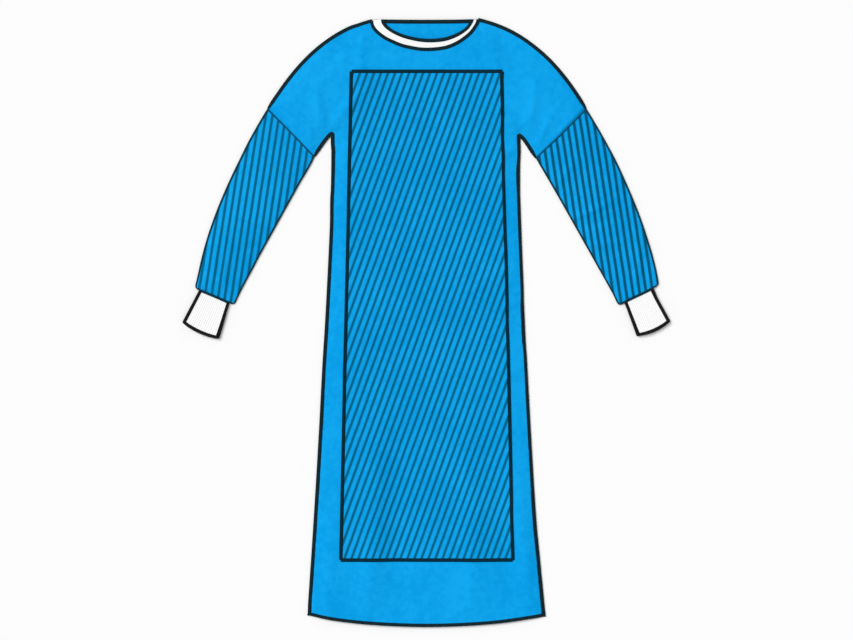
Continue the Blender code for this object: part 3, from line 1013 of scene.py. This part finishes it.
binding = {
    "wide": 23.8 * mm,        # it is turned over further on the left
    "narrow": 11.8 * mm,
    "change": 0.86,           # share of its length over which it narrows
    "radius": 0.8 * mm,
    "columns": 121,
    "yarns": (420, 50),       # along it and round it
}
backTape = {
    "columns": 61,
    "yarns": (320, 48),
}
tapeStops = sectionStops(flatSteps=8, foldSteps=4)


def neckFrame(share):
    # (point of the front neck's edge, its inward direction) at a share of the way from -X to +X
    angle = math.pi * (share - 0.5)
    half, drop = cut["neckHalf"], cut["frontNeckDrop"]
    point = Vector((half * math.sin(angle), -drop * math.cos(angle)))
    inward = -Vector((point.x / half ** 2, point.y / drop ** 2)).normalized()
    return point + Vector((0.0, cut["neckTop"])), inward


def bandWidth(share):
    return mix(binding["wide"], binding["narrow"], clamp(share / binding["change"]))


def bandTop(x, y):
    return frontTop(x, y) - lay["layer"] + 2 * binding["radius"]


def makeNeckBinding():
    def place(column, row):
        share = column / (binding["columns"] - 1)
        edge, inward = neckFrame(share)
        reach, z = foldPoint(*tapeStops[row], bandWidth(share), binding["radius"], binding["radius"])
        x, y = edge + inward * (lay["gap"] + reach)
        return Vector((x, y, frontTop(x, y) - lay["layer"] + z))

    piece = gridPiece("neckBindingTape", place, binding["columns"], len(tapeStops), "tape",
                      "binding_cloth", binding["yarns"], node="neck_binding", closeEnds=True)


def makeNeckTape():
    width = tapeHigh.y - tapeLow.y
    radius = (tapeHigh.z - tapeLow.z) / 2

    def place(column, row):
        reach, z = foldPoint(*tapeStops[row], width, radius, radius)
        x = mix(tapeLow.x, tapeHigh.x, column / (backTape["columns"] - 1))
        return Vector((x, tapeLow.y + reach, z))

    piece = gridPiece("backNeckTape", place, backTape["columns"], len(tapeStops), "tape",
                      "binding_cloth", backTape["yarns"], node="neck_tape", closeEnds=True)


makeBack("backOuterCloth", "back_outer", *backs[0], ["floor"])
makeBack("backInnerCloth", "back_inner", *backs[1], ["backOuterCloth", "floor"])
makeFront()
makeReinforcement()
print("body cloth laid")
for name, side in sides:
    makeSleeve(name, side)
    makeCuff(name, side)
makeNeckBinding()
makeNeckTape()
print("sleeves, cuffs and neck made")

# Close overlock: turns of dark thread that cover the sewn edges

overlock = {
    "turn": 1.9 * mm,         # along the seam, from one turn to the next
    "proud": 0.30 * mm,
    "ridge": 0.32 * mm,       # how much higher every second row stands
    "slant": 0.7 * mm,
    "columns": 12,
    "endThick": 0.6,          # share of its thickness in its first and last rows
    "tail": 0.62,             # its width where it ends at the seam across the upper arm
    "tailLength": 16 * mm,
    "flapClear": 2 * mm,      # the back edges' bands end this far below the neck
    "neckClear": 3 * mm,      # and the back neck's bands this far from its points
    "intoFront": 0.4 * mm,    # the neck's outer band goes this far into the front
    "sleeveWidth": 3.0 * mm,
    "seamWidth": 0.0090,      # share of the sleeve's length
    "endWidth": 0.0095,       # the same
    "ring": (0.05 * mm, 0.45 * mm, 0.6 * mm, 0.6 * mm, 0.45 * mm, 0.05 * mm),    # its height, across it
    "ringLow": 0.6,           # share of that between the strands
    "sleeveWall": 0.4 * mm,
    "cuffProud": 0.15 * mm,
    "cuffWall": 0.5 * mm,
    "cuffWidth": 5.3 * mm,
    "cuffOverhang": 1.2 * mm,
    "joinStart": 0.288 * mm,  # before the cuff
    "joinWidth": 2.2 * mm,    # onto it
    "wristWidth": 5.0 * mm,
    "wristWall": 0.6 * mm,
}
bands = {                     # the flat bands: width, and how much of it is past the edge
    "body": (8.4 * mm, 3.3 * mm),
    "hem": (7.2 * mm, 2.6 * mm),
    "panel": (7.7 * mm, 3.8 * mm),
    "neckOuter": (7.5 * mm, 4.0 * mm),
    "neckInner": (7.5 * mm, 3.7 * mm),
    "backNeck": (8.6 * mm, 1.7 * mm),
    "hidden": (4.0 * mm, 0.8 * mm),
}


def evenPath(points, inwardSign):
    # (point, inward, along) at half a turn's spacing; inward is to the left of the way, times the sign
    lengths = [(b - a).length for a, b in zip(points, points[1:])]
    total = sum(lengths)
    count = max(4, 2 * round(total / overlock["turn"]))
    path, index, gone = [], 0, 0.0
    for target in spread(0.0, total, count):
        while index < len(lengths) - 1 and gone + lengths[index] < target:
            gone += lengths[index]
            index += 1
        path.append(mix(points[index], points[index + 1], clamp((target - gone) / lengths[index])))
    framed = []
    for n, point in enumerate(path):
        along = (path[min(n + 1, count)] - path[max(n - 1, 0)]).normalized()
        framed.append((point, Vector((-along.y, along.x)) * inwardSign, along))
    return framed


def squared(wave):
    # Squares off a sine or cosine, for a flat band with rounded sides
    return math.copysign(math.sqrt(abs(wave)), wave)


def strand(row, base):
    # How far a row stands proud
    return base + (overlock["ridge"] if row % 2 else 0.0)


def below(topAt, depth):
    return lambda x, y: topAt(x, y) - depth


def mirrored(points, side):
    return [Vector((side * point.x, point.y)) for point in points]


def wrapBand(bm, path, band, topAt, bottomAt, tail=1.0):
    # A band of thread round a cloth edge, or on a cloth where bottomAt is just under its face
    width, overhang = bands[band]
    last = len(path) - 1

    def place(column, row):
        point, inward, along = path[row]
        angle = 2 * math.pi * column / overlock["columns"]
        toEnd = (last - row) * overlock["turn"] / 2
        full = mix(tail, 1.0, clamp(toEnd / overlock["tailLength"]))
        reach = full * mix(-overhang, width - overhang, (squared(math.cos(angle)) + 1) / 2)
        x, y = point + inward * reach + along * overlock["slant"] * math.cos(angle)
        high, low = topAt(x, y), bottomAt(x, y)
        thick = (high - low) / 2 + strand(row, overlock["proud"])
        if row in (0, last):
            thick *= overlock["endThick"]
        return Vector((x, y, max((high + low) / 2 + thick * squared(math.sin(angle)), floorClear)))

    layGrid(bm, place, overlock["columns"] + 1, len(path), (1.0, len(path) / 2))


def makeBodyOverlock():
    bm = bmesh.new()
    for _, side in sides:
        shoulder = evenPath(mirrored(sampleCurve(shoulderCurve, 200), side), -side)
        wrapBand(bm, shoulder, "body", frontTop, tapeRise, overlock["tail"])
        corner = Vector((cut["hemHalf"], cut["hemSide"] - bands["hem"][1]))
        flank = [corner] + sidePoints() + sampleCurve(upperUnderCurve, 60)[1:]
        flank = evenPath(mirrored(flank, side), side)
        wrapBand(bm, flank, "body", frontTop, lambda x, y: 0.0, overlock["tail"])
    finishPiece("bodyOverlock", bm, "darkThread", "body_cloth", closeEnds=True)


def makeHemOverlock():
    bm = bmesh.new()
    half = cut["hemHalf"]
    past = half + bands["body"][1]
    hem = [Vector((x, hemY(x))) for x in spread(-past, past, 120)]
    wrapBand(bm, evenPath(hem, 1), "hem", frontTop, below(frontTop, lay["cloth"]))
    for side, topAt in backs:
        hem = [Vector((x, hemY(x))) for x in spread(lineX("flap", cut["hemSide"]), half, 120)]
        wrapBand(bm, evenPath(mirrored(hem, side), side), "hidden", topAt, below(topAt, lay["cloth"]))
    finishPiece("hemOverlock", bm, "darkThread", "body_cloth", closeEnds=True)


def makeFlapOverlock():
    # The free edges of the two back panels
    bm = bmesh.new()
    ends = (hemY(lineX("flap", cut["hemSide"])), cut["neckTop"] - overlock["flapClear"])
    edge = [Vector((lineX("flap", y), y)) for y in spread(*ends, 200)]
    for side, topAt in backs:
        wrapBand(bm, evenPath(mirrored(edge, side), -side), "hidden", topAt, below(topAt, lay["cloth"]))
    finishPiece("backEdgeOverlock", bm, "darkThread", "body_cloth", closeEnds=True)


def makePanelOverlock():
    bm = bmesh.new()
    top, foot = cut["panelTop"], cut["panelFoot"]
    corners = [Vector((panelHalf(foot), foot)), Vector((panelHalf(top), top))]
    corners += mirrored(reversed(corners), -1)
    for start, end in zip(corners, corners[1:] + corners[:1]):
        wrapBand(bm, evenPath([start, end], 1), "panel", panelTopAt, frontTop)
    finishPiece("panelOverlock", bm, "panelThread", "reinforced_cloth", closeEnds=True)


def makeNeckOverlock():
    bm = bmesh.new()
    outer, inner = [], []
    for share in spread(0.0, 1.0, 200):
        edge, inward = neckFrame(share)
        outer.append(edge)
        inner.append(edge + inward * (bandWidth(share) + lay["gap"]))
    wrapBand(bm, evenPath(outer, 1), "neckOuter", bandTop, below(frontTop, overlock["intoFront"]))
    wrapBand(bm, evenPath(inner, -1), "neckInner", bandTop, below(bandTop, 2 * binding["radius"]))
    ends = (max(-cut["neckHalf"], lineX("flap", cut["neckTop"])), cut["neckHalf"] - overlock["neckClear"])
    neck = [Vector((x, neckY(x, cut["backNeckDrop"]))) for x in spread(*ends, 200)]
    for side, topAt in backs:
        wrapBand(bm, evenPath(mirrored(neck, side), -side), "backNeck", topAt, below(topAt, lay["cloth"]))
    finishPiece("neckOverlock", bm, "darkThread", "binding_cloth", closeEnds=True)


def makeSleeveOverlock(name, side):
    # Along the two folded edges
    bm = bmesh.new()
    rows = 2 * round(sleeve["length"] / overlock["turn"])
    for part in ("overFold", "underFold"):
        stops = edgeStops(part, sleeve["meanWidth"], sleeve["radius"], overlock["sleeveWidth"], foldSteps=8)

        def place(column, row):
            return sleevePoint(side, *stops[column], row / rows, strand(row, overlock["proud"]))

        layGrid(bm, place, len(stops), rows + 1, (1.0, rows / 2))
    finishPiece(f"{name}SleeveOverlock", bm, "tealThread", "reinforced_cloth",
                thickness=overlock["sleeveWall"])


def makeSleeveRing(name, side, start, end, look):
    # Round the sleeve, between two shares of its length
    stops = sectionStops(flatSteps=64, foldSteps=6)
    columns = len(overlock["ring"])

    def place(column, row):
        lift = overlock["ring"][column] * (1.0 if row % 2 else overlock["ringLow"])
        return sleevePoint(side, *stops[row], mix(start, end, column / (columns - 1)), lift)

    gridPiece(name, place, columns, len(stops), look, "reinforced_cloth", (1.0, len(stops) / 2),
              thickness=overlock["sleeveWall"])


def makeCuffRing(name, side, start, end, look, wall, columns):
    # Round the cuff, between two places along its length
    rows = 2 * round(cuff["girth"] / overlock["turn"]) + 1

    def place(column, row):
        along = mix(start, end, column / (columns - 1)) / cuff["length"]
        return cuffPoint(side, row / (rows - 1), along, strand(row, overlock["cuffProud"]), ribbed=False)

    gridPiece(name, place, columns, rows, look, "cuff_knit", (1.0, rows / 2), thickness=wall)


def makeCuffOverlock(name, side):
    # Along the two folded edges, and standing out past them
    bm = bmesh.new()
    rows = 2 * round(cuff["length"] / overlock["turn"])
    over, under = cuffSection(0.5)
    straight = (over - under).length - 2 * cuff["radius"]
    fold = math.pi * cuff["radius"]
    girth = 2 * (straight + fold)
    reach = (fold / 2 + overlock["cuffWidth"] - cuff["radius"]) / girth
    columns = 17
    for middle in ((straight + fold / 2) / girth, 1 - fold / 2 / girth):

        def place(column, row):
            aside = mix(-reach, reach, column / (columns - 1))
            out = max(0.0, 1 - (aside * girth / (fold / 2)) ** 2)
            lift = strand(row, overlock["cuffProud"] + out * overlock["cuffOverhang"])
            return cuffPoint(side, middle + aside, row / rows, lift, ribbed=False)

        layGrid(bm, place, columns, rows + 1, (1.0, rows / 2))
    finishPiece(f"{name}CuffOverlock", bm, "blackThread", "cuff_knit", thickness=overlock["cuffWall"])


def makeArmOverlocks(name, side):
    makeSleeveOverlock(name, side)
    makeSleeveRing(f"{name}ArmSeam", side, 0.0, overlock["seamWidth"], "seamThread")
    makeSleeveRing(f"{name}SleeveEnd", side, 1 - overlock["endWidth"], 1.0, "tealThread")
    makeCuffRing(f"{name}CuffJoin", side, -overlock["joinStart"], overlock["joinWidth"],
                 "tealThread", overlock["cuffWall"], columns=4)
    makeCuffOverlock(name, side)
    start, end = cuff["length"] - overlock["wristWidth"], cuff["length"] + overlock["cuffOverhang"]
    makeCuffRing(f"{name}WristOverlock", side, start, end, "blackThread", overlock["wristWall"], columns=7)


# Plain stitches in thread of the cloth's own colour

stitch = {
    "pitch": 3.2 * mm,
    "length": 2.3 * mm,
    "width": 0.45 * mm,
    "height": 0.40 * mm,
    "sink": 0.1,              # its middle is this share of its height above the cloth
    "hemFold": 13 * mm,       # from the hem to its stitches
    "hemEnd": 0.232,          # where they end, short of the side seams
    "backHemStart": -0.103,   # and begin, at a back panel's free edge
    "flapFold": 11 * mm,      # from the back panels' free edges
    "flapClear": 9 * mm,      # from hem and neck
    "seamLap": 6 * mm,        # above the seam across the upper arm
    "seamClear": 8 * mm,      # from its two ends
    "bandLap": 5.4 * mm,      # in from the white band's outer edge
    "bandClear": 0.02,        # share of the band, at each end
}


def makeStitchShape():
    shape = bmesh.new()
    shape.loops.layers.uv.new("layUv")
    size = Matrix.Diagonal((stitch["length"] / 2, stitch["width"] / 2, stitch["height"] / 2, 1.0))
    bmesh.ops.create_uvsphere(shape, u_segments=6, v_segments=4, radius=1.0, matrix=size)
    return shape


stitchShape = makeStitchShape()
stitchCopy = bpy.data.meshes.new("stitchCopy")


def sewLine(bm, points, topAt):
    gone, wanted = 0.0, stitch["pitch"] / 2
    for start, end in zip(points, points[1:]):
        length = (end - start).length
        turn = math.atan2(end.y - start.y, end.x - start.x)
        while wanted < gone + length:
            x, y = mix(start, end, (wanted - gone) / length)
            place = Matrix.Translation((x, y, topAt(x, y) + stitch["height"] * stitch["sink"]))
            stitchShape.to_mesh(stitchCopy)
            stitchCopy.transform(place @ Matrix.Rotation(turn, 4, "Z"))
            bm.from_mesh(stitchCopy)
            wanted += stitch["pitch"]
        gone += length


def makeHemStitches():
    bm = bmesh.new()
    lines = [(1, frontTop, -stitch["hemEnd"])] + [(*back, stitch["backHemStart"]) for back in backs]
    for side, topAt, start in lines:
        points = [Vector((x, hemY(x) + stitch["hemFold"])) for x in spread(start, stitch["hemEnd"], 60)]
        sewLine(bm, mirrored(points, side), topAt)
    finishPiece("hemStitches", bm, "blueThread", "body_cloth")


def makeBackEdgeStitches():
    bm = bmesh.new()
    ends = (cut["hemCentre"] + stitch["flapClear"], cut["neckTop"] - stitch["flapClear"])
    points = [Vector((lineX("flap", y) + stitch["flapFold"], y)) for y in spread(*ends, 100)]
    for side, topAt in backs:
        sewLine(bm, mirrored(points, side), topAt)
    finishPiece("backEdgeStitches", bm, "blueThread", "body_cloth")


def makeArmSeamStitches():
    bm = bmesh.new()
    under, over = Vector(upperUnderCurve[3]), Vector(shoulderCurve[3])
    across = (over - under).normalized()
    lap = Vector((-across.y, across.x)) * stitch["seamLap"]
    clear = across * stitch["seamClear"]
    for _, side in sides:
        sewLine(bm, mirrored([under + clear + lap, over - clear + lap], side), frontTop)
    finishPiece("armSeamStitches", bm, "blueThread", "body_cloth")


def makeNeckStitches():
    bm = bmesh.new()
    points = []
    for share in spread(stitch["bandClear"], 1 - stitch["bandClear"], 200):
        edge, inward = neckFrame(share)
        points.append(edge + inward * stitch["bandLap"])
    sewLine(bm, points, bandTop)
    finishPiece("neckStitches", bm, "whiteThread", "binding_cloth")


makeBodyOverlock()
makeHemOverlock()
makeFlapOverlock()
makePanelOverlock()
makeNeckOverlock()
for name, side in sides:
    makeArmOverlocks(name, side)
print("overlock sewn")
makeHemStitches()
makeBackEdgeStitches()
makeArmSeamStitches()
makeNeckStitches()
stitchShape.free()
bpy.data.meshes.remove(stitchCopy)
print("stitches sewn")

# Floor, light and camera

studio = {
    "photoScale": 2.06 * mm,          # at the gown, for each pixel of the picture
    "photoWidth": 853,
    "viewCentre": (-0.0010, 0.0062),
    "lens": 100,
    "sensor": 36,
    "keyFrom": (-4.2, 2.9, 5.5),
    "keySpread": 36,                  # in degrees: how soft its shadows are
    "keyStrength": 2.12,
    "world": (1.0, 1.0, 1.0, 1.0),
    "worldStrength": 0.50,
    "floor": (0.985, 0.985, 0.985, 1.0),
    "floorHalf": 6.0,
}


def makeFloor():
    bm = bmesh.new()
    bmesh.ops.create_grid(bm, x_segments=1, y_segments=1, size=studio["floorHalf"])
    mesh = bpy.data.meshes.new("floor")
    bm.to_mesh(mesh)
    bm.free()
    look, _, shader = newMaterial("paleFloor", 0.9, 0.0, 0.1)
    shader.inputs["Base Color"].default_value = studio["floor"]
    mesh.materials.append(look)
    floor = bpy.data.objects.new("floor", mesh)
    bpy.context.scene.collection.objects.link(floor)


def makeLight():
    light = bpy.data.lights.new("key", "SUN")
    light.angle = math.radians(studio["keySpread"])
    light.energy = studio["keyStrength"]
    key = bpy.data.objects.new("key", light)
    key.location = studio["keyFrom"]
    key.rotation_euler = (-Vector(studio["keyFrom"])).to_track_quat("-Z", "Y").to_euler()
    bpy.context.scene.collection.objects.link(key)
    world = bpy.data.worlds.new("studio")
    world.use_nodes = True
    background = world.node_tree.nodes["Background"]
    background.inputs["Color"].default_value = studio["world"]
    background.inputs["Strength"].default_value = studio["worldStrength"]
    bpy.context.scene.world = world
    bpy.context.scene.view_settings.view_transform = "Standard"


def makeCamera():
    data = bpy.data.cameras.new("camera")
    data.lens = studio["lens"]
    data.sensor_width = studio["sensor"]
    camera = bpy.data.objects.new("camera", data)
    seen = studio["photoScale"] * studio["photoWidth"]
    x, y = studio["viewCentre"]
    camera.location = (x, y, seen * studio["lens"] / studio["sensor"] + frontHigh.z / 2)
    bpy.context.scene.collection.objects.link(camera)
    bpy.context.scene.camera = camera


makeFloor()
makeLight()
makeCamera()
print("stage set")
